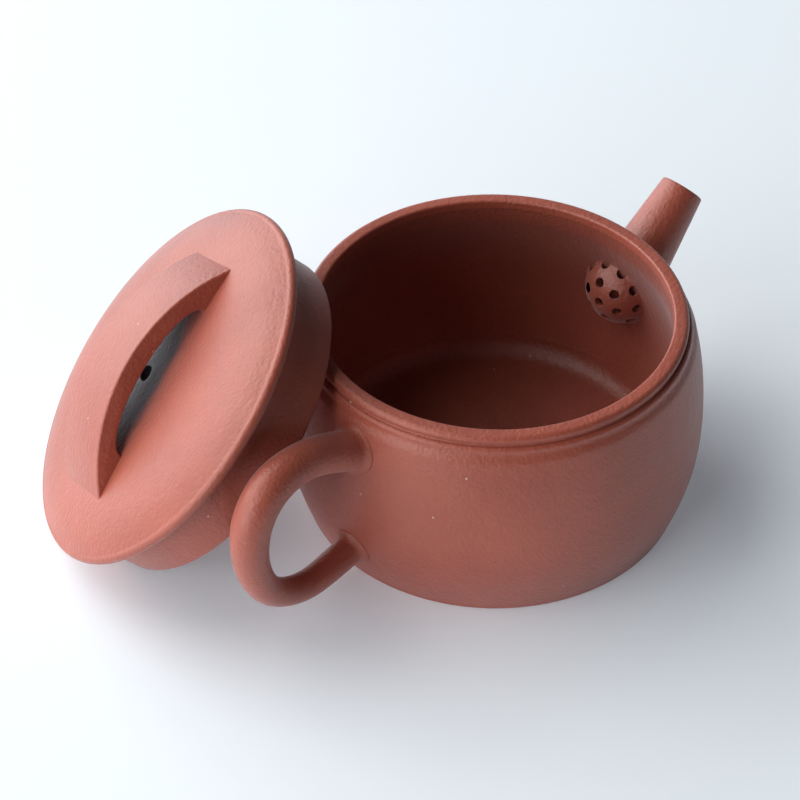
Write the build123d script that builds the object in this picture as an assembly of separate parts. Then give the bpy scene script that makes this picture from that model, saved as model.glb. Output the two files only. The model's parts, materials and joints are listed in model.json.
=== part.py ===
from build123d import *
import math
import os

# A slab-built clay teapot with a drum body, a straight spout, an ear handle and a press lid
# with a bridge knob. The lid is off: it stands on the table on its flange and leans on the handle.
# Millimetres. The origin is the centre of the base, on the table. +Z is up, +X is the spout's side.

# Pot body
belly_radius = 38.8
belly_height = 18.5
foot_inset = 3.3           # how much the foot is smaller than the belly
foot_round = 0.7
shoulder_inset = 2.1       # how much the top of the wall is smaller than the belly
rim_height = 41.1
shoulder_drop = 4.7        # top of the wall, below the rim
foot_flare = 20            # degrees that the side leans out at the foot
shoulder_lean = 19         # degrees that the side leans in at the top of the wall
wall = 3.0
base_thickness = 3.2
cove_radius = 4.0          # between the floor and the wall, inside
floor_dip = 0.25           # how much the floor is hollowed below the base slab's top

# Mouth
lip_width = 2.8
lip_height = 1.75          # the lip ring, above the groove
lip_round = 0.9
lip_edge_round = 0.4
groove_undercut = 0.25     # how far the groove stands in from the lip
bead_width = 1.0           # how far the bead under the lip stands out from the groove
bead_height = 1.3
bead_round = 0.6
shoulder_step = 0.95       # from the foot of the bead to the top of the wall
neck_depth = 4.6           # straight part of the mouth
neck_lean = 7              # degrees that the inside leans in where it meets the neck

# Spout
spout_angle = 40.6         # degrees above level
spout_length = 20.0        # from the wall to the tip, along its axis
spout_exit_drop = 15.2     # where its axis leaves the wall, below the rim
spout_tip_radius = 4.25
spout_root_radius = 6.25
spout_bore_tip_radius = 2.6
spout_bore_root_radius = 3.7
spout_tip_round = 0.35

# Ball filter
filter_radius = 7.4
filter_bulge = 5.8         # how far it stands in from the wall
filter_drop = 16.2         # its centre, below the rim
filter_shell = 1.1
filter_hole_radius = 1.0
# Each ring of holes round the middle one: degrees off the axis, degrees of its first hole, holes
filter_rings = [(31, 45, 6), (60, 34, 10)]

# Handle
handle_root_drop = 4.4     # centre of the upper root, below the top of the wall
handle_lower_root_height = 8.2
handle_upper_radius = 3.7
handle_lower_radius = 2.85
handle_flare = 1.25        # how much thicker each end is where it meets the wall
handle_flare_length = 4.0
# Each station: distance out from the belly, share of the height between the roots, radius
handle_stations = [
    (9.6, 1.20, 3.50),
    (18.4, 1.18, 3.65),
    (23.5, 0.93, 3.60),
    (23.7, 0.54, 3.20),
    (19.4, 0.155, 2.75),
    (10.7, -0.04, 2.65),
]

# Lid
lid_clearance = 0.8        # flange to mouth, on the radius
lid_overhang = 0.4         # lid's edge beyond the lip
lid_edge = 2.0             # thickness of the lid's edge
lid_rise = 3.55            # height of the lid's crown above its edge
lid_shoulder_inset = 7.0
lid_shoulder_drop = 0.95   # below the crown, at the lid's shoulder
lid_shoulder_slope = 5.5   # degrees
lid_edge_slope = 32        # degrees, where the top meets the edge
lid_slab = 3.1             # thickness at the crown
flange_depth = 11.35       # below the lid's seat
flange_wall = 2.4
flange_round = 0.5
vent_radius = 1.5

# Bridge knob
bridge_width = 15.3
bridge_half_length = 23.1
bridge_height = 8.25       # above the lid's crown
bridge_radius = 36.0
bridge_gap_half_length = 14.7
bridge_gap_height = 4.5

# Where the lid leans. Its distance from the pot follows from the gap that is left.
lid_bearing = 142.15       # degrees around from the spout
lid_facing = 142.2         # degrees, the way its top faces
lid_tilt = 47.7            # degrees, its axis from upright
lean_gap = 0.2             # between the lid and the pot it leans on
lean_steps = 8
knob_turn = 59.9           # degrees, the bridge from level in the lid's face

# Worked out from the sizes above
foot_radius = belly_radius - foot_inset
wall_top_radius = belly_radius - shoulder_inset
wall_top_height = rim_height - shoulder_drop
groove_height = rim_height - lip_height
bead_foot_height = groove_height - bead_height
bead_radius = wall_top_radius - shoulder_step
groove_radius = bead_radius - bead_width
lip_radius = groove_radius + groove_undercut
mouth_radius = lip_radius - lip_width
flange_radius = mouth_radius - lid_clearance
lid_radius = lip_radius + lid_overhang
lid_crown = lid_edge / 2 + lid_rise    # above the middle of the lid's edge
lid_seat = -lid_edge / 2               # underside of the lid
well_outside = 4 * belly_radius        # larger than the pot, for tools that cut right through


def turned(outline):
    """A solid turned about +Z from a closed outline in the XZ plane."""
    return revolve(Plane.XZ * make_face(outline), Axis.Z)


def corner_arc(start, end, centre):
    """A quarter round from start to end, about a centre."""
    radius = math.dist(start, centre)
    across = Vector(*start) + Vector(*end) - 2 * Vector(*centre)
    return ThreePointArc(start, Vector(*centre) + across.normalized() * radius, end)


def side_curve():
    """The pot's side, from its foot to the top of the wall."""
    lean_out = math.radians(foot_flare)
    lean_in = math.radians(shoulder_lean)
    return Spline(
        (foot_radius, foot_round),
        (belly_radius, belly_height),
        (wall_top_radius, wall_top_height),
        tangents=[
            (math.sin(lean_out), math.cos(lean_out)),
            (0, 1),
            (-math.sin(lean_in), math.cos(lean_in)),
        ],
    )


def wall_radius_at(height):
    """Radius of the pot's outside at a height on its side."""
    level = Line((0, height), (2 * belly_radius, height))
    return side_curve().intersect(level)[0].X


def pot_form():
    """The whole outside of the pot, filled in."""
    side = side_curve()
    foot_edge = foot_radius - foot_round
    toe = corner_arc((foot_edge, 0), (foot_radius, foot_round), (foot_edge, foot_round))
    foot = Line((0, 0), toe @ 0)
    shoulder = Line(side @ 1, (bead_radius, bead_foot_height))
    bead_top = groove_height - bead_round
    bead_side = Line(shoulder @ 1, (bead_radius, bead_top))
    bead_edge = bead_radius - bead_round
    bead_turn = corner_arc((bead_radius, bead_top), (bead_edge, groove_height), (bead_edge, bead_top))
    shelf = Line(bead_turn @ 1, (groove_radius, groove_height))
    lip_turn_height = rim_height - lip_round
    lip_edge = lip_radius - lip_round
    lip = Line(shelf @ 1, (lip_radius, lip_turn_height))
    lip_turn = corner_arc(
        (lip_radius, lip_turn_height), (lip_edge, rim_height), (lip_edge, lip_turn_height)
    )
    top = Line(lip_turn @ 1, (0, rim_height))
    axis = Line(top @ 1, (0, 0))
    outline = [foot, toe, side, shoulder, bead_side, bead_turn, shelf, lip, lip_turn, top, axis]
    return turned(outline)


def pot_cavity():
    """The hollow of the pot, from its floor up through the mouth."""
    floor_height = base_thickness - floor_dip
    lean_out = math.radians(foot_flare)
    lean_in = math.radians(neck_lean)
    side = Spline(
        (foot_radius - wall + floor_height * math.tan(lean_out), floor_height),
        (belly_radius - wall, belly_height),
        (mouth_radius, rim_height - neck_depth),
        tangents=[
            (math.sin(lean_out), math.cos(lean_out)),
            (0, 1),
            (-math.sin(lean_in), math.cos(lean_in)),
        ],
    )
    floor = Line((0, floor_height), side @ 0)
    turn_height = rim_height - lip_edge_round
    turn_radius = mouth_radius + lip_edge_round
    neck = Line(side @ 1, (mouth_radius, turn_height))
    edge = corner_arc(
        (mouth_radius, turn_height), (turn_radius, rim_height), (turn_radius, turn_height)
    )
    above = Line(edge @ 1, (turn_radius, rim_height + wall))
    top = Line(above @ 1, (0, rim_height + wall))
    axis = Line(top @ 1, (0, floor_height))
    hollow = turned([floor, side, neck, edge, above, top, axis])
    cove = hollow.edges().filter_by(GeomType.CIRCLE).sort_by(Axis.Z)[0]
    return fillet(cove, cove_radius)


def slice_between(solid, low, high):
    """The part of a solid between two heights."""
    slab = Pos(0, 0, (low + high) / 2) * Box(well_outside, well_outside, high - low)
    return solid & slab


def spout_cone(tip_radius, root_radius, start, end):
    """A cone about the spout's axis, between two distances along it from the wall's outside."""
    rise = math.radians(spout_angle)
    exit_height = rim_height - spout_exit_drop
    frame = Plane(
        origin=(wall_radius_at(exit_height), 0, exit_height),
        x_dir=(0, 1, 0),
        z_dir=(math.cos(rise), 0, math.sin(rise)),
    )
    slope = (root_radius - tip_radius) / spout_length
    cone = Cone(root_radius - slope * start, root_radius - slope * end, end - start)
    return frame * Pos(0, 0, (start + end) / 2) * cone


def spout_bore():
    """The way through the wall and the spout, open past both ends."""
    return spout_cone(
        spout_bore_tip_radius, spout_bore_root_radius, -3 * wall, spout_length + wall
    )


def make_spout(form):
    body = spout_cone(spout_tip_radius, spout_root_radius, -3 * wall, spout_length)
    tip = body.edges().filter_by(GeomType.CIRCLE).sort_by(Axis.Z)[-1]
    return fillet(tip, spout_tip_round) - form - spout_bore()


def make_filter(cavity):
    height = rim_height - filter_drop
    centre = Vector(wall_radius_at(height) - wall - filter_bulge + filter_radius, 0, height)
    shell = Pos(centre) * (Sphere(filter_radius) - Sphere(filter_radius - filter_shell))
    shell = shell & cavity
    directions = [Vector(-1, 0, 0)]
    for off_axis, first, holes in filter_rings:
        away = math.radians(off_axis)
        for index in range(holes):
            around = math.radians(first + index * 360 / holes)
            directions.append(Vector(
                -math.cos(away),
                -math.sin(away) * math.cos(around),
                math.sin(away) * math.sin(around),
            ))
    drill = Cylinder(filter_hole_radius, filter_radius)
    for along in directions:
        shell = shell - Plane(origin=centre + along * filter_radius, z_dir=along) * drill
    return shell


def make_handle(form):
    upper_height = wall_top_height - handle_root_drop
    span = upper_height - handle_lower_root_height
    upper_start = wall / 2 - wall_radius_at(upper_height)
    lower_end = wall / 2 - wall_radius_at(handle_lower_root_height)
    points = [(upper_start, 0, upper_height)]
    for out, share, _ in handle_stations:
        points.append((-belly_radius - out, 0, handle_lower_root_height + share * span))
    points.append((lower_end, 0, handle_lower_root_height))
    path = Spline(points)
    flare_share = handle_flare_length / path.length
    sections = [(0, handle_upper_radius + handle_flare), (flare_share, handle_upper_radius)]
    for point, station in zip(points[1:-1], handle_stations):
        sections.append((path.param_at_point(point), station[2]))
    sections.append((1 - flare_share, handle_lower_radius))
    sections.append((1, handle_lower_radius + handle_flare))
    rings = [
        Plane(origin=path @ place, x_dir=(0, 1, 0), z_dir=path % place) * Circle(radius)
        for place, radius in sections
    ]
    return loft(rings) - form


def lid_top():
    """The lid's top line, from its edge to its crown, in the XZ plane."""
    edge_slope = math.radians(lid_edge_slope)
    shoulder_slope = math.radians(lid_shoulder_slope)
    return Spline(
        (lid_radius - lid_edge / 2, lid_edge / 2),
        (lid_radius - lid_shoulder_inset, lid_crown - lid_shoulder_drop),
        (0, lid_crown),
        tangents=[
            (-math.cos(edge_slope), math.sin(edge_slope)),
            (-math.cos(shoulder_slope), math.sin(shoulder_slope)),
            (-1, 0),
        ],
    )


def make_lid_slab():
    """The lid's slab, with the middle of its edge at zero and its axis up."""
    half = lid_edge / 2
    top = lid_top()
    edge = ThreePointArc((lid_radius - half, -half), (lid_radius, 0), (lid_radius - half, half))
    down = Line(top @ 1, (0, lid_crown - lid_slab))
    under = TangentArc(down @ 1, (flange_radius - flange_wall, lid_seat), tangent=(1, 0))
    rest = Line(under @ 1, edge @ 0)
    vent = Cylinder(vent_radius, well_outside)
    return turned([edge, top, down, under, rest]) - vent


def make_flange():
    """The ring under the lid that stands in the mouth."""
    ring = Cylinder(flange_radius, flange_depth) - Cylinder(flange_radius - flange_wall, flange_depth)
    ring = Pos(0, 0, lid_seat - flange_depth / 2) * ring
    ends = ring.edges().filter_by(GeomType.CIRCLE).group_by(Axis.Z)[0]
    return fillet(ends, flange_round)


def make_bridge():
    """The strap over the vent, trimmed to the lid's top."""
    reach = (bridge_half_length + lid_radius) / 2
    drop = bridge_radius - math.sqrt(bridge_radius**2 - reach**2)
    top_height = lid_crown + bridge_height
    arch = ThreePointArc((-reach, top_height - drop), (0, top_height), (reach, top_height - drop))
    bottom = top_height - 2 * drop
    right = Line(arch @ 1, (reach, bottom))
    under = Line(right @ 1, (-reach, bottom))
    left = Line(under @ 1, arch @ 0)
    strap = Plane.XZ * extrude(make_face([arch, right, under, left]), bridge_width / 2, both=True)
    gap = extrude(Ellipse(bridge_gap_half_length, bridge_gap_height), bridge_width, both=True)
    gap = Plane.XZ * Pos(0, lid_crown) * gap
    return strap - gap - under_lid_top(bottom)


def under_lid_top(bottom):
    """All that lies under the lid's top line, down to a height."""
    top = lid_top()
    axis = Line(top @ 1, (0, bottom))
    low = Line(axis @ 1, (lid_radius, bottom))
    side = Line(low @ 1, (lid_radius, lid_edge / 2))
    return turned([top, axis, low, side, Line(side @ 1, top @ 0)])


def lid_plane():
    """The leaning lid's plane, well out from the pot: X along the bridge, Z out of its top."""
    tilt = math.radians(lid_tilt)
    facing = math.radians(lid_facing)
    turn = math.radians(knob_turn)
    axis = Vector(
        math.sin(tilt) * math.cos(facing), math.sin(tilt) * math.sin(facing), math.cos(tilt)
    )
    level = axis.cross(Vector(0, 0, 1)).normalized()
    along = level * math.cos(turn) - axis.cross(level) * math.sin(turn)
    centre = outward() * (lip_radius + lid_radius) + Vector(0, 0, standing_height())
    return Plane(origin=centre, x_dir=along, z_dir=axis)


def standing_height():
    """Height of the leaning lid's centre, with the lowest point of its flange or edge on the table."""
    tilt = math.radians(lid_tilt)
    across = flange_radius - flange_round
    down = -lid_seat + flange_depth - flange_round
    on_flange = across * math.sin(tilt) + down * math.cos(tilt) + flange_round
    on_edge = (lid_radius - lid_edge / 2) * math.sin(tilt) + lid_edge / 2
    return max(on_flange, on_edge)


def outward():
    """Level, from the pot's axis to the lid."""
    bearing = math.radians(lid_bearing)
    return Vector(math.cos(bearing), math.sin(bearing), 0)


def lean_shift(lid, pot):
    """How the lid moves in toward the pot until only the gap is left."""
    shift = Vector(0, 0, 0)
    for _ in range(lean_steps):
        left = (Pos(shift) * lid).distance_to(pot) - lean_gap
        shift = shift - outward() * left
    return Pos(shift)


def build():
    form = pot_form()
    cavity = pot_cavity()
    shell = form - cavity
    handle = make_handle(form)
    place = lid_plane()
    slab = place * make_lid_slab()
    flange = place * make_flange()
    lean = lean_shift(Compound([slab.solid(), flange.solid()]), Compound([shell.solid(), handle.solid()]))
    return {
        "base_slab": slice_between(shell, 0, base_thickness),
        "body_wall": slice_between(shell, base_thickness, wall_top_height) - spout_bore(),
        "shoulder_slab": slice_between(shell, wall_top_height, groove_height),
        "mouth_ring": slice_between(shell, groove_height, rim_height),
        "ball_filter": make_filter(cavity),
        "spout": make_spout(form),
        "handle": handle,
        "lid_slab": lean * slab,
        "lid_flange": lean * flange,
        "bridge_knob": lean * (place * make_bridge()),
    }


os.makedirs("parts", exist_ok=True)
for name, piece in build().items():
    export_step(piece.solid(), f"parts/{name}.step")
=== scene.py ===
import json
import math

import bpy
from mathutils import Matrix, Vector


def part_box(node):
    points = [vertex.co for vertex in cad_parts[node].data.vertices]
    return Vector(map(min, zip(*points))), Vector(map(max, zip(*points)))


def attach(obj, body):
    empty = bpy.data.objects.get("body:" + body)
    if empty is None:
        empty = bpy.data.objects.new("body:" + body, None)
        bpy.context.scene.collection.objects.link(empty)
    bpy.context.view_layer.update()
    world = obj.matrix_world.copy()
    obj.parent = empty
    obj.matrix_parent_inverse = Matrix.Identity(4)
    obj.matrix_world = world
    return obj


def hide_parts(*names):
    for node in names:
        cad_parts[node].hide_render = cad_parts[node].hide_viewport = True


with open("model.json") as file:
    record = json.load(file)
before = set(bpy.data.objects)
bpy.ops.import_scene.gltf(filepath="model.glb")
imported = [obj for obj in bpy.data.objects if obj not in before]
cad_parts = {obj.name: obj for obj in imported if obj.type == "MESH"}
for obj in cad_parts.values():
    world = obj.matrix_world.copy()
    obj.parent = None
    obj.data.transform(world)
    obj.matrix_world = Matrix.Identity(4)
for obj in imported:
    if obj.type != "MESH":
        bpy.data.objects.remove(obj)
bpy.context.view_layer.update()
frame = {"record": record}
print("frame loaded")

mm = 0.001


def deselectAll():
    if bpy.context.mode != 'OBJECT':
        bpy.ops.object.mode_set(mode='OBJECT')
    bpy.ops.object.select_all(action='DESELECT')


def pick(piece):
    deselectAll()
    piece.select_set(True)
    bpy.context.view_layer.objects.active = piece


def smoothLine(stations, perSpan):
    # points on a soft line through the stations, each one (across, up)
    points = [Vector(s) for s in stations]
    points = [2 * points[0] - points[1]] + points + [2 * points[-1] - points[-2]]
    line = []
    for k in range(1, len(points) - 2):
        a, b, c, d = points[k - 1:k + 3]
        for n in range(perSpan):
            t = n / perSpan
            line.append(0.5 * (2 * b + (c - a) * t + (2 * a - 5 * b + 4 * c - d) * t * t
                               + (3 * b - a - 3 * c + d) * t ** 3))
    line.append(points[-2])
    return [tuple(p) for p in line]


def roundTurn(centre, radius, startDegrees, endDegrees, steps):
    # points on a part of a circle
    points = []
    for n in range(steps + 1):
        angle = math.radians(startDegrees + (endDegrees - startDegrees) * n / steps)
        points.append((centre[0] + radius * math.cos(angle), centre[1] + radius * math.sin(angle)))
    return points


def drawProfile(name, points):
    # one vertex, extruded from point to point in the XZ plane
    deselectAll()
    bpy.ops.mesh.primitive_plane_add(size=0.001, location=(points[0][0] * mm, 0, points[0][1] * mm))
    piece = bpy.context.object
    piece.name = name
    bpy.ops.object.transform_apply(location=True)
    bpy.ops.object.mode_set(mode='EDIT')
    bpy.ops.mesh.select_mode(type='VERT')
    bpy.ops.mesh.select_all(action='SELECT')
    bpy.ops.mesh.merge(type='CENTER')
    for before, after in zip(points, points[1:]):
        step = ((after[0] - before[0]) * mm, 0, (after[1] - before[1]) * mm)
        bpy.ops.mesh.extrude_region_move(TRANSFORM_OT_translate={"value": step})
    return piece


def throwOnWheel(name, points, steps=180):
    # a profile spun about the upright axis, as on a potter's wheel
    piece = drawProfile(name, points)
    bpy.ops.mesh.select_all(action='SELECT')
    bpy.ops.mesh.spin(steps=steps, angle=2 * math.pi, center=(0, 0, 0), axis=(0, 0, 1))
    bpy.ops.mesh.select_all(action='SELECT')
    bpy.ops.mesh.remove_doubles(threshold=0.000002)
    bpy.ops.mesh.normals_make_consistent(inside=False)
    bpy.ops.object.mode_set(mode='OBJECT')
    return piece


def smoothOver(piece, degrees=30):
    pick(piece)
    bpy.ops.object.shade_smooth_by_angle(angle=math.radians(degrees))


def setDown(piece, place):
    # moves a piece to its place, and writes the place into its mesh
    pick(piece)
    piece.matrix_world = place
    bpy.ops.object.transform_apply(location=True, rotation=True, scale=True)


def carve(piece, cutter):
    pick(piece)
    cut = piece.modifiers.new("cut", 'BOOLEAN')
    cut.operation = 'DIFFERENCE'
    cut.solver = 'EXACT'
    cut.object = cutter
    bpy.ops.object.modifier_apply(modifier=cut.name)
    bpy.data.objects.remove(cutter, do_unlink=True)


pot = {
    "side": [(35.5, 0.7), (36.85, 4.8), (38.0, 9.4), (38.62, 13.9), (38.8, 18.5),
             (38.66, 23.0), (38.27, 27.6), (37.6, 32.0), (36.7, 36.2)],
    "base": [(0, 0), (12, 0), (24, 0), (32, 0)], "footRound": 0.7,
    "shoulder": [(36.55, 36.62), (36.3, 37.05), (36.05, 37.45), (35.85, 37.75)],
    "beadCentre": (34.95, 38.45), "beadRadius": 0.75,
    "beadTop": (34.75, 39.28), "groove": (34.72, 39.5), "grooveTop": (34.78, 39.75),
    "lipCentre": (34.05, 40.15), "lipRound": 0.95,
    "rim": 41.1, "rimFlat": 33.4, "mouth": 32.2, "mouthRound": 0.45, "neckTop": 38.4,
    "inside": [(32.2, 36.5), (33.3, 33.0), (34.6, 28.6), (35.5, 23.6), (35.8, 18.5),
               (35.6, 13.6), (35.0, 9.4), (34.45, 6.9)],
    "coveCentre": (30.35, 6.95), "coveRadius": 4.0,
    "floor": [(28, 2.94), (22, 2.9), (12, 2.9), (0, 2.9)],
    "turns": 192,
    "shadeFrom": 2, "shadeWithin": 31,  # height, and radius inside which every face gets the darker clay, painted shade for the dim inside
}


def wallRadiusAt(height, line):
    # radius of a side line at a height, in millimetres
    points = sorted(line, key=lambda p: p[1])
    for low, high in zip(points, points[1:]):
        if low[1] <= height <= high[1]:
            share = (height - low[1]) / max(high[1] - low[1], 1e-9)
            return low[0] + share * (high[0] - low[0])
    return points[-1][0] if height > points[-1][1] else points[0][0]


outerSide = smoothLine(pot["side"], 6)
innerSide = smoothLine(pot["inside"], 6)


def makePotBody():
    foot = pot["side"][0][0] - pot["footRound"]
    profile = list(pot["base"])
    profile += roundTurn((foot, pot["footRound"]), pot["footRound"], -90, 0, 6)
    profile += outerSide[1:] + pot["shoulder"]
    profile += roundTurn(pot["beadCentre"], pot["beadRadius"], -8, 100, 10)
    profile += [pot["beadTop"], pot["groove"]]
    profile += [(pot["mouth"], pot["groove"][1]), (pot["mouth"], pot["neckTop"])] + innerSide
    profile += roundTurn(pot["coveCentre"], pot["coveRadius"], -4, -90, 12)
    return throwOnWheel("potBody", profile + pot["floor"], pot["turns"])


def makeMouthRing():
    mouth, turn = pot["mouth"], pot["mouthRound"]
    profile = [pot["groove"], pot["grooveTop"]]
    profile += roundTurn(pot["lipCentre"], pot["lipRound"], 8, 90, 8)
    profile += [(pot["rimFlat"], pot["rim"])]
    profile += roundTurn((mouth + turn, pot["rim"] - turn), turn, 90, 180, 6)
    profile += [(mouth, pot["groove"][1]), pot["groove"]]
    return throwOnWheel("mouthRing", profile, pot["turns"])


potBody = makePotBody()
mouthRing = makeMouthRing()
print("pot turned")

handle = {
    "stations": [(-35.2, 31.1, 3.85), (-37.73, 31.98, 3.75), (-48.42, 36.77, 3.49), (-57.16, 36.36, 3.66),
                 (-62.22, 30.44, 3.60), (-62.52, 20.99, 3.19), (-58.22, 11.91, 2.75), (-49.54, 7.26, 2.67),
                 (-37.98, 8.23, 2.85), (-35.6, 8.5, 2.9)],
    "blend": 1.7, "welt": 0.32, "weltOut": 0.38,
    "around": 16, "fineStep": 0.1, "fineLength": 7.5, "middleRings": 150,
}


def flareOnWall(piece, axisPoints, blend, welt, weltOut, side):
    # clay drawn out onto the wall: the closer to the wall, the wider
    for v in piece.data.vertices:
        x, y, z = v.co / mm
        height = math.hypot(x, y) - wallRadiusAt(z, side)
        if height >= blend:
            continue
        near = min(axisPoints, key=lambda p: (p - v.co).length_squared)
        away = v.co - near
        if height > welt:
            grow = blend - math.sqrt(max(blend ** 2 - (blend - height) ** 2, 0))
        else:
            start = blend - math.sqrt(max(blend ** 2 - (blend - welt) ** 2, 0))
            grow = start + weltOut * math.sqrt(1 - (max(height, 0) / welt) ** 2)
        v.co = v.co + away.normalized() * grow * mm


def makeHandle():
    path = [Vector(p) for p in smoothLine(handle["stations"], 24)]
    lengths = [0]
    for a, b in zip(path, path[1:]):
        lengths.append(lengths[-1] + (b.to_2d() - a.to_2d()).length)
    total = lengths[-1]
    # more rings near both roots
    fine, root, middle = handle["fineStep"], handle["fineLength"], handle["middleRings"]
    many = round(root / fine)
    places = [n * fine for n in range(many)]
    places += [root + n * (total - 2 * root) / middle for n in range(1, middle)]
    places += [total - root + n * fine for n in range(many + 1)]
    rings = []
    k = 0
    for s in places:
        while k < len(lengths) - 2 and lengths[k + 1] < s:
            k += 1
        share = (s - lengths[k]) / (lengths[k + 1] - lengths[k])
        rings.append(path[k].lerp(path[k + 1], share))
    deselectAll()
    bpy.ops.curve.primitive_nurbs_path_add(location=(0, 0, 0))
    coil = bpy.context.object
    coil.name = "handle_coil"
    line = coil.data
    line.splines.clear()
    spline = line.splines.new('POLY')
    spline.points.add(len(rings) - 1)
    for point, ring in zip(spline.points, rings):
        point.co = (ring.x * mm, 0, ring.y * mm, 1)
        point.radius = ring.z
    line.bevel_depth = mm
    line.bevel_resolution = handle["around"]
    line.use_fill_caps = True
    pick(coil)
    bpy.ops.object.convert(target='MESH')
    piece = bpy.context.object
    piece.name = "earHandle"
    bpy.ops.object.mode_set(mode='EDIT')
    bpy.ops.mesh.select_all(action='SELECT')
    bpy.ops.mesh.remove_doubles(threshold=0.000002)
    bpy.ops.mesh.normals_make_consistent(inside=False)
    bpy.ops.object.mode_set(mode='OBJECT')
    axisPoints = [Vector((r.x * mm, 0, r.y * mm)) for r in rings]
    flareOnWall(piece, axisPoints, handle["blend"], handle["welt"], handle["weltOut"], outerSide)
    return piece


earHandle = makeHandle()
print("handle pulled")

spout = {
    "rise": 40.6, "length": 20.0, "exit": (38.55, 25.9),
    "tip": 4.25, "root": 6.25, "boreTip": 2.6, "boreRoot": 3.7,
    "tipRound": 0.4, "boreRound": 0.25, "blend": 1.6, "welt": 0.12, "cutAt": 36.6,
    "start": -8, "fineStep": 0.15, "fineEnd": 6,  # along its axis from the wall
    "boreSide": 4.6, "boreEnd": 15,  # nothing this near the axis and this low flares out
    "wallBore": 3.8, "wallBoreDepth": 14, "wallBoreMiddle": -2,
}


def makeSpout():
    slope = (spout["root"] - spout["tip"]) / spout["length"]
    boreSlope = (spout["boreRoot"] - spout["boreTip"]) / spout["length"]
    length, start, fine, fineEnd = spout["length"], spout["start"], spout["fineStep"], spout["fineEnd"]
    steps = [start + n * fine for n in range(int((fineEnd - start) / fine))]
    steps += [fineEnd + n for n in range(1, int(length) - fineEnd)]
    profile = [(spout["root"] - slope * s, s) for s in steps]
    turn = spout["tipRound"]
    profile += roundTurn((spout["tip"] - turn + 0.04, length - turn), turn, 5, 90, 6)
    lipIn = spout["boreRound"]
    profile += roundTurn((spout["boreTip"] + lipIn, length - lipIn), lipIn, 90, 180, 4)
    profile += [(spout["boreTip"] + boreSlope * n, length - n) for n in range(1, int(length) + 8)]
    profile.append((spout["boreRoot"] - boreSlope * start, start))
    profile.append(profile[0])
    piece = throwOnWheel("pourSpout", profile, 96)
    rise = math.radians(spout["rise"])
    place = Matrix.Translation(Vector((spout["exit"][0] * mm, 0, spout["exit"][1] * mm))) \
        @ Matrix.Rotation(math.pi / 2 - rise, 4, 'Y')
    setDown(piece, place)
    along = Vector((math.cos(rise), 0, math.sin(rise)))
    root = Vector((spout["exit"][0], 0, spout["exit"][1])) * mm
    inner = {v.index for v in piece.data.vertices
             if ((v.co - root) - along * (v.co - root).dot(along)).length < spout["boreSide"] * mm
             and (v.co - root).dot(along) < spout["boreEnd"] * mm}
    for v in piece.data.vertices:
        if v.index in inner:
            continue
        x, y, z = v.co / mm
        height = math.hypot(x, y) - wallRadiusAt(z, outerSide)
        if height >= spout["blend"]:
            continue
        foot = root + along * (v.co - root).dot(along)
        blend, welt = spout["blend"], spout["welt"]
        grow = blend - math.sqrt(max(blend ** 2 - (blend - max(height, welt)) ** 2, 0))
        v.co = v.co + (v.co - foot).normalized() * grow * mm
    pick(piece)
    bpy.ops.object.mode_set(mode='EDIT')
    bpy.ops.mesh.select_all(action='SELECT')
    bpy.ops.mesh.bisect(plane_co=(spout["cutAt"] * mm, 0, 0), plane_no=(-1, 0, 0),
                        use_fill=True, clear_outer=True)
    bpy.ops.mesh.select_all(action='SELECT')
    bpy.ops.mesh.normals_make_consistent(inside=False)
    bpy.ops.object.mode_set(mode='OBJECT')
    return piece, place


pourSpout, spoutPlace = makeSpout()


def cutBore():
    # the way from the pot into the spout
    deselectAll()
    bpy.ops.mesh.primitive_cylinder_add(
        vertices=96, radius=spout["wallBore"] * mm, depth=spout["wallBoreDepth"] * mm)
    bore = bpy.context.object
    setDown(bore, spoutPlace @ Matrix.Translation(Vector((0, 0, spout["wallBoreMiddle"] * mm))))
    carve(potBody, bore)


cutBore()
print("spout set on")

ballFilter = {
    "centre": (37.3, 24.9), "radius": 7.4, "shell": 1.1, "hole": 1.0, "drill": 5,
    "blend": 0.5, "nearWall": 0.05, "edge": 8,  # degrees the bowl stops short of a half ball
    "rings": [(31, 45, 6), (60, 34, 10)],  # degrees off the axis, degrees of the first hole, holes
}


def makeFilter():
    centre = Vector((ballFilter["centre"][0], 0, ballFilter["centre"][1])) * mm
    outer, inner = ballFilter["radius"], ballFilter["radius"] - ballFilter["shell"]
    # a bowl with its axis up, turned later to face into the pot
    profile = roundTurn((0, 0), outer, 90, ballFilter["edge"], 60)
    profile += roundTurn((0, 0), inner, ballFilter["edge"], 90, 50)
    piece = throwOnWheel("filterDome", profile, 144)
    setDown(piece, Matrix.Translation(centre) @ Matrix.Rotation(-math.pi / 2, 4, 'Y'))
    blend, outside = ballFilter["blend"], (outer + inner) / 2
    for v in piece.data.vertices:
        x, y, z = v.co / mm
        gap = wallRadiusAt(z, innerSide) - math.hypot(x, y)
        if gap < blend and (v.co - centre).length / mm > outside:
            gap = max(gap, ballFilter["nearWall"])
            grow = blend - math.sqrt(max(blend ** 2 - (blend - gap) ** 2, 0))
            away = Vector((0, v.co.y, v.co.z - centre.z)).normalized()
            v.co = v.co + away * grow * mm
    directions = [Vector((-1, 0, 0))]
    for offAxis, first, holes in ballFilter["rings"]:
        away = math.radians(offAxis)
        for n in range(holes):
            around = math.radians(first + n * 360 / holes)
            directions.append(Vector((-math.cos(away), -math.sin(away) * math.cos(around),
                                      math.sin(away) * math.sin(around))))
    for along in directions:
        deselectAll()
        bpy.ops.mesh.primitive_cylinder_add(vertices=32, radius=ballFilter["hole"] * mm,
                                            depth=ballFilter["drill"] * mm)
        drill = bpy.context.object
        setDown(drill, Matrix.Translation(centre + along * outer * mm)
                @ along.to_track_quat('Z', 'Y').to_matrix().to_4x4())
        carve(piece, drill)
    return piece


filterDome = makeFilter()
print("filter pierced")

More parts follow.
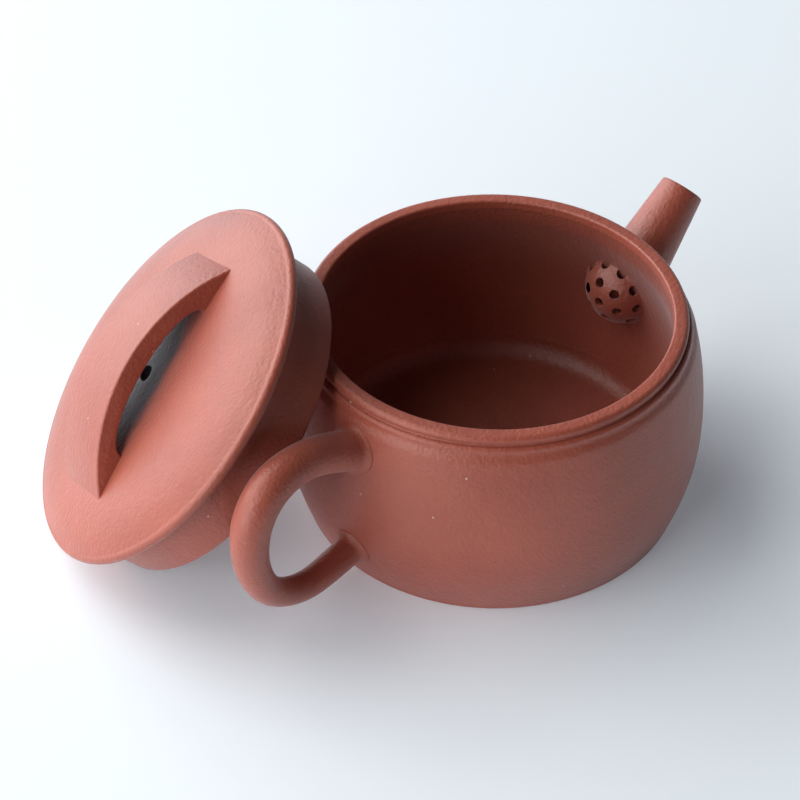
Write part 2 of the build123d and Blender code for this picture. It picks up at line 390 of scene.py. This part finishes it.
lid = {
    "radius": 35.4, "edge": 2.0, "crown": 4.55, "vent": 1.5, "ventRound": 0.25,
    "top": [(34.4, 1.0), (33.2, 1.62), (31.5, 2.4), (29.6, 3.05), (27.3, 3.6), (24, 4.05),
            (19, 4.37), (12, 4.5), (6, 4.54), (1.75, 4.55)],
    "ventFoot": 3.0, "under": [(1.5, 1.45), (10, 1.15), (20, 0.3), (29.0, -1.0)], "seat": 31,
    "flange": 31.4, "flangeWall": 2.4, "depth": 12.35, "flangeRound": 0.6, "flangeMiddle": -6,
    "flangeCorner": [(0.3, -1.0), (0.08, -1.25), (0, -1.6)],  # beyond the flange, and down
    "turn": 59.9,
}


def lidFrame():
    # the lid's centre and axes, from its joint and its flange's box
    axis = Vector(frame["record"]["behaviour"]["joints"][0]["axis"]).normalized()
    low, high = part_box("lid_flange")
    middle = (Vector(low) + Vector(high)) / 2
    centre = middle + axis * (lid["edge"] / 2 + lid["depth"]) / 2 * mm
    level = axis.cross(Vector((0, 0, 1))).normalized()
    turn = math.radians(lid["turn"])
    along = level * math.cos(turn) - axis.cross(level) * math.sin(turn)
    across = axis.cross(along)
    turned = Matrix((along, across, axis)).transposed().to_4x4()
    return Matrix.Translation(centre) @ turned


lidPlace = lidFrame()


def makeLidSlab():
    half = lid["edge"] / 2
    top = smoothLine(lid["top"], 5)
    profile = roundTurn((lid["radius"] - half, 0), half, -90, 90, 12)
    profile += top[1:]
    turn = lid["ventRound"]
    profile += roundTurn((lid["vent"] + turn, lid["crown"] - turn), turn, 90, 180, 4)
    profile += [(lid["vent"], lid["ventFoot"])] + smoothLine(lid["under"], 6)
    profile += [(lid["seat"], -half), profile[0]]
    piece = throwOnWheel("lidSlab", profile, pot["turns"])
    setDown(piece, lidPlace)
    return piece


def makeFlange():
    outer, inner = lid["flange"], lid["flange"] - lid["flangeWall"]
    low, turn, middle = -lid["depth"], lid["flangeRound"], lid["flangeMiddle"]
    profile = [(outer + beyond, down) for beyond, down in lid["flangeCorner"]] + [(outer, middle)]
    profile += roundTurn((outer - turn, low + turn), turn, 0, -90, 8)
    profile += roundTurn((inner + turn, low + turn), turn, -90, -180, 8)
    profile += [(inner, middle), (inner, -lid["edge"] / 2), profile[0]]
    piece = throwOnWheel("lidFlange", profile, pot["turns"])
    setDown(piece, lidPlace)
    return piece


lidSlab = makeLidSlab()
lidFlange = makeFlange()
print("lid turned")

bridge = {
    "width": 15.3, "top": 12.8, "radius": 36.0, "foot": 24.8,
    "gapHalf": 14.7, "gapHeight": 4.5, "edgeRound": 0.45,
    "sunk": 2.0,  # its underside, inside the slab
    "arcSteps": 40, "gapSteps": 32,
}


def makeBridge():
    crown, foot, gapHalf, sunk = lid["crown"], bridge["foot"], bridge["gapHalf"], bridge["sunk"]
    arc = []
    for n in range(bridge["arcSteps"] + 1):
        x = -foot + 2 * foot * n / bridge["arcSteps"]
        arc.append((x, bridge["top"] - bridge["radius"] + math.sqrt(bridge["radius"] ** 2 - x * x)))
    gap = []
    for n in range(bridge["gapSteps"] + 1):
        angle = math.pi * n / bridge["gapSteps"]
        gap.append((gapHalf * math.cos(angle), crown + bridge["gapHeight"] * math.sin(angle)))
    outline = arc + [(foot, sunk), (gapHalf, sunk)] + gap + [(-gapHalf, sunk), (-foot, sunk), arc[0]]
    piece = drawProfile("bridgeKnob", outline)
    bpy.ops.mesh.select_all(action='SELECT')
    bpy.ops.mesh.remove_doubles(threshold=0.000002)
    bpy.ops.mesh.select_all(action='SELECT')
    bpy.ops.mesh.edge_face_add()
    bpy.ops.mesh.extrude_region_move(TRANSFORM_OT_translate={"value": (0, bridge["width"] * mm, 0)})
    bpy.ops.mesh.select_all(action='SELECT')
    bpy.ops.transform.translate(value=(0, -bridge["width"] / 2 * mm, 0))
    bpy.ops.mesh.normals_make_consistent(inside=False)
    bpy.ops.object.mode_set(mode='OBJECT')
    soften = piece.modifiers.new("soften", 'BEVEL')
    soften.width = bridge["edgeRound"] * mm
    soften.segments = 4
    soften.limit_method = 'ANGLE'
    soften.angle_limit = math.radians(50)
    pick(piece)
    bpy.ops.object.modifier_apply(modifier=soften.name)
    setDown(piece, lidPlace)
    return piece


bridgeKnob = makeBridge()
print("knob bridged")

clay = {
    "deep": (0.335, 0.060, 0.030, 1), "warm": (0.445, 0.092, 0.047, 1),
    "insideShade": 0.70,  # how much darker the inside clay is made, painted shade for the dim inside of the pot
    "pale": (0.62, 0.42, 0.33, 1), "dark": (0.05, 0.02, 0.016, 1),
    "roughLow": 0.44, "roughHigh": 0.56,
    "grain": 0.5, "ripple": 0.2,
    "grainDeep": 0.0003, "rippleDeep": 0.0006,  # metres
    "cloudScale": 38, "mottleScale": 160, "grainScale": 1500, "rippleScale": 520,
    "paleScale": 520, "paleRarity": 0.985,
    "darkScale": 700, "darkRarity": 0.975, "speckSize": 0.10,
    "creaseAngle": 32,
}


def addNode(tree, kind, **settings):
    node = tree.nodes.new(kind)
    for key, value in settings.items():
        setattr(node, key, value)
    return node


def makeClay(name, patch=None, shade=1.0):
    paste = bpy.data.materials.new(name)
    paste.use_nodes = True
    tree = paste.node_tree
    tree.nodes.clear()
    link = tree.links.new
    out = addNode(tree, "ShaderNodeOutputMaterial")
    shader = addNode(tree, "ShaderNodeBsdfPrincipled")
    link(shader.outputs["BSDF"], out.inputs["Surface"])
    place = addNode(tree, "ShaderNodeTexCoord")
    here = place.outputs["Object"]

    cloud = addNode(tree, "ShaderNodeTexNoise")
    cloud.inputs["Scale"].default_value = clay["cloudScale"]
    cloud.inputs["Detail"].default_value = 5
    cloud.inputs["Roughness"].default_value = 0.6
    link(here, cloud.inputs["Vector"])
    tone = addNode(tree, "ShaderNodeValToRGB")
    tone.color_ramp.elements[0].position = 0.3
    tone.color_ramp.elements[0].color = [shade * c for c in clay["deep"][:3]] + [1]
    tone.color_ramp.elements[1].position = 0.72
    tone.color_ramp.elements[1].color = [shade * c for c in clay["warm"][:3]] + [1]
    link(cloud.outputs["Fac"], tone.inputs["Fac"])
    color = tone.outputs["Color"]

    def speck(color, scale, rarity, speckColor):
        # small grains of other clay, one in a few of the cells
        cells = addNode(tree, "ShaderNodeTexVoronoi", feature='F1')
        cells.inputs["Scale"].default_value = scale
        link(here, cells.inputs["Vector"])
        near = addNode(tree, "ShaderNodeMath", operation='LESS_THAN')
        near.inputs[1].default_value = clay["speckSize"]
        link(cells.outputs["Distance"], near.inputs[0])
        split = addNode(tree, "ShaderNodeSeparateColor")
        link(cells.outputs["Color"], split.inputs["Color"])
        rare = addNode(tree, "ShaderNodeMath", operation='GREATER_THAN')
        rare.inputs[1].default_value = rarity
        link(split.outputs["Red"], rare.inputs[0])
        both = addNode(tree, "ShaderNodeMath", operation='MULTIPLY')
        link(near.outputs[0], both.inputs[0])
        link(rare.outputs[0], both.inputs[1])
        mix = addNode(tree, "ShaderNodeMix", data_type='RGBA')
        link(both.outputs[0], mix.inputs["Factor"])
        link(color, mix.inputs[6])
        mix.inputs[7].default_value = speckColor
        return mix.outputs[2]

    color = speck(color, clay["paleScale"], clay["paleRarity"], clay["pale"])
    color = speck(color, clay["darkScale"], clay["darkRarity"], clay["dark"])
    if patch:
        color = patch(tree, here, color)
    link(color, shader.inputs["Base Color"])

    satin = addNode(tree, "ShaderNodeMapRange")
    satin.inputs["To Min"].default_value = clay["roughLow"]
    satin.inputs["To Max"].default_value = clay["roughHigh"]
    mottle = addNode(tree, "ShaderNodeTexNoise")
    mottle.inputs["Scale"].default_value = clay["mottleScale"]
    mottle.inputs["Detail"].default_value = 3
    link(here, mottle.inputs["Vector"])
    link(mottle.outputs["Fac"], satin.inputs["Value"])
    link(satin.outputs["Result"], shader.inputs["Roughness"])

    grain = addNode(tree, "ShaderNodeTexNoise")
    grain.inputs["Scale"].default_value = clay["grainScale"]
    grain.inputs["Detail"].default_value = 2
    link(here, grain.inputs["Vector"])
    ripple = addNode(tree, "ShaderNodeTexNoise")
    ripple.inputs["Scale"].default_value = clay["rippleScale"]
    ripple.inputs["Detail"].default_value = 3
    link(here, ripple.inputs["Vector"])
    grainBump = addNode(tree, "ShaderNodeBump")
    grainBump.inputs["Strength"].default_value = clay["grain"]
    grainBump.inputs["Distance"].default_value = clay["grainDeep"]
    link(grain.outputs["Fac"], grainBump.inputs["Height"])
    rippleBump = addNode(tree, "ShaderNodeBump")
    rippleBump.inputs["Strength"].default_value = clay["ripple"]
    rippleBump.inputs["Distance"].default_value = clay["rippleDeep"]
    link(ripple.outputs["Fac"], rippleBump.inputs["Height"])
    link(grainBump.outputs["Normal"], rippleBump.inputs["Normal"])
    link(rippleBump.outputs["Normal"], shader.inputs["Normal"])
    shader.inputs["Specular IOR Level"].default_value = 0.7
    shader.inputs["Coat Weight"].default_value = 0.12
    shader.inputs["Coat Roughness"].default_value = 0.34
    shader.inputs["Sheen Weight"].default_value = 0.27
    shader.inputs["Sheen Roughness"].default_value = 0.45
    shader.inputs["Sheen Tint"].default_value = (0.92, 0.95, 1.0, 1)
    return paste


ventPatch = {
    "halfLong": 17.0, "halfWide": 7.5, "core": (0.045, 0.043, 0.058, 1),
    "driftScale": 130, "driftReach": 0.5,
    "fadeFrom": 0.62, "fadeTo": 1.1,  # in shares of the half sizes
}


def ventDarkPatch(tree, here, color):
    # a blue-grey darker patch around the vent, under the bridge, fading out towards its edges
    link = tree.links.new
    local = addNode(tree, "ShaderNodeMapping", vector_type='TEXTURE')
    local.inputs["Location"].default_value = lidPlace.to_translation()
    local.inputs["Rotation"].default_value = lidPlace.to_euler()
    local.inputs["Scale"].default_value = (ventPatch["halfLong"] * mm, ventPatch["halfWide"] * mm, 1)
    link(here, local.inputs["Vector"])
    reach = addNode(tree, "ShaderNodeVectorMath", operation='LENGTH')
    link(local.outputs["Vector"], reach.inputs[0])
    drift = addNode(tree, "ShaderNodeTexNoise")
    drift.inputs["Scale"].default_value = ventPatch["driftScale"]
    drift.inputs["Detail"].default_value = 4
    link(here, drift.inputs["Vector"])
    wander = addNode(tree, "ShaderNodeMath", operation='MULTIPLY_ADD')
    wander.inputs[1].default_value = ventPatch["driftReach"]
    wander.inputs[2].default_value = -ventPatch["driftReach"] / 2
    link(drift.outputs["Fac"], wander.inputs[0])
    total = addNode(tree, "ShaderNodeMath", operation='ADD')
    link(reach.outputs["Value"], total.inputs[0])
    link(wander.outputs[0], total.inputs[1])
    fade = addNode(tree, "ShaderNodeMapRange", interpolation_type='SMOOTHSTEP')
    fade.inputs["From Min"].default_value = ventPatch["fadeFrom"]
    fade.inputs["From Max"].default_value = ventPatch["fadeTo"]
    link(total.outputs[0], fade.inputs["Value"])
    mix = addNode(tree, "ShaderNodeMix", data_type='RGBA')
    link(fade.outputs["Result"], mix.inputs["Factor"])
    mix.inputs[6].default_value = ventPatch["core"]
    link(color, mix.inputs[7])
    return mix.outputs[2]


clayBody = makeClay("clayBody")
# a darker copy of the clay for the inside: painted shade
clayInsideShaded = makeClay("clayInsideShaded", shade=clay["insideShade"])
clayLid = makeClay("clayLidTop", ventDarkPatch)

for piece, node, body, paste in (
    (potBody, ("base_slab", "body_wall", "shoulder_slab"), "pot", clayBody),
    (mouthRing, ("mouth_ring",), "pot", clayBody),
    (filterDome, ("ball_filter",), "pot", clayBody),
    (pourSpout, ("spout",), "pot", clayBody),
    (earHandle, ("handle",), "pot", clayBody),
    (lidSlab, ("lid_slab",), "lid", clayLid),
    (lidFlange, ("lid_flange",), "lid", clayBody),
    (bridgeKnob, ("bridge_knob",), "lid", clayBody),
):
    smoothOver(piece, clay["creaseAngle"])
    piece.data.materials.clear()
    piece.data.materials.append(paste)
    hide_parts(*node)
    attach(piece, body)

# the inside faces of the pot take the darker clay: painted shade for the dim inside
potBody.data.materials.append(clayInsideShaded)
for face in potBody.data.polygons:
    x, y, z = face.center / mm
    away = face.normal.x * x + face.normal.y * y
    if z > pot["shadeFrom"] and (math.hypot(x, y) < pot["shadeWithin"] or away < 0):
        face.material_index = 1
# the filter inside the pot takes the darker clay too: painted shade
filterDome.data.materials[0] = clayInsideShaded
print("clay laid on")

studio = {
    "camera": (-0.29942, -0.25845, 0.36626),
    "right": (0.6854, -0.7282, -0.0008), "up": (0.4808, 0.4517, 0.7515),
    "lens": 127.5,
    "lamps": [  # name, from where, distance, size, power, color
        ("keyLight", (-0.32, 0.56, 0.766), 1.3, 1.1, 9.5, (1.0, 0.985, 0.96)),
        ("backLight", (-0.10, 0.95, 0.22), 1.2, 1.5, 22.0, (0.93, 0.97, 1.0)),
        ("sideLight", (-0.90, 0.12, 0.36), 1.3, 1.0, 11.0, (0.97, 0.985, 1.0)),
    ],
    "sky": (0.80, 0.90, 1.0, 1), "skyStrength": 0.06, "glow": 0.16,
    "floor": (0.86, 0.91, 0.95, 1), "floorSize": 6,
}


def makeFloor():
    deselectAll()
    bpy.ops.mesh.primitive_plane_add(size=studio["floorSize"], location=(0, 0, 0))
    floor = bpy.context.object
    floor.name = "tableTop"
    top = bpy.data.materials.new("paleTable")
    top.use_nodes = True
    shader = top.node_tree.nodes["Principled BSDF"]
    shader.inputs["Base Color"].default_value = studio["floor"]
    shader.inputs["Roughness"].default_value = 0.6
    # the table glows faintly in the sky colour: painted light that lifts its shadows and lights the pot
    # from below
    shader.inputs["Emission Color"].default_value = studio["sky"]
    shader.inputs["Emission Strength"].default_value = studio["glow"]
    floor.data.materials.append(top)


def makeLight(name, fromWhere, distance, size, power, color):
    deselectAll()
    direction = Vector(fromWhere).normalized()
    bpy.ops.object.light_add(type='AREA', location=direction * distance)
    lamp = bpy.context.object
    lamp.name = name
    lamp.data.shape = 'SQUARE'
    lamp.data.size = size
    lamp.data.energy = power
    lamp.data.color = color
    lamp.rotation_euler = direction.to_track_quat('Z', 'Y').to_euler()
    lamp.visible_camera = False


def makeCamera():
    right, up = Vector(studio["right"]).normalized(), Vector(studio["up"]).normalized()
    back = right.cross(up)
    turned = Matrix((right, up, back)).transposed().to_4x4()
    deselectAll()
    bpy.ops.object.camera_add()
    eye = bpy.context.object
    eye.matrix_world = Matrix.Translation(Vector(studio["camera"])) @ turned
    eye.data.lens = studio["lens"]
    eye.data.sensor_width = 36
    eye.data.clip_start = 0.01
    bpy.context.scene.camera = eye


makeFloor()
for lamp in studio["lamps"]:
    makeLight(*lamp)
world = bpy.data.worlds.new("studioAir")
bpy.context.scene.world = world
world.use_nodes = True
world.node_tree.nodes["Background"].inputs["Color"].default_value = studio["sky"]
world.node_tree.nodes["Background"].inputs["Strength"].default_value = studio["skyStrength"]
makeCamera()
bpy.context.scene.view_settings.view_transform = 'Standard'
print("studio lit")
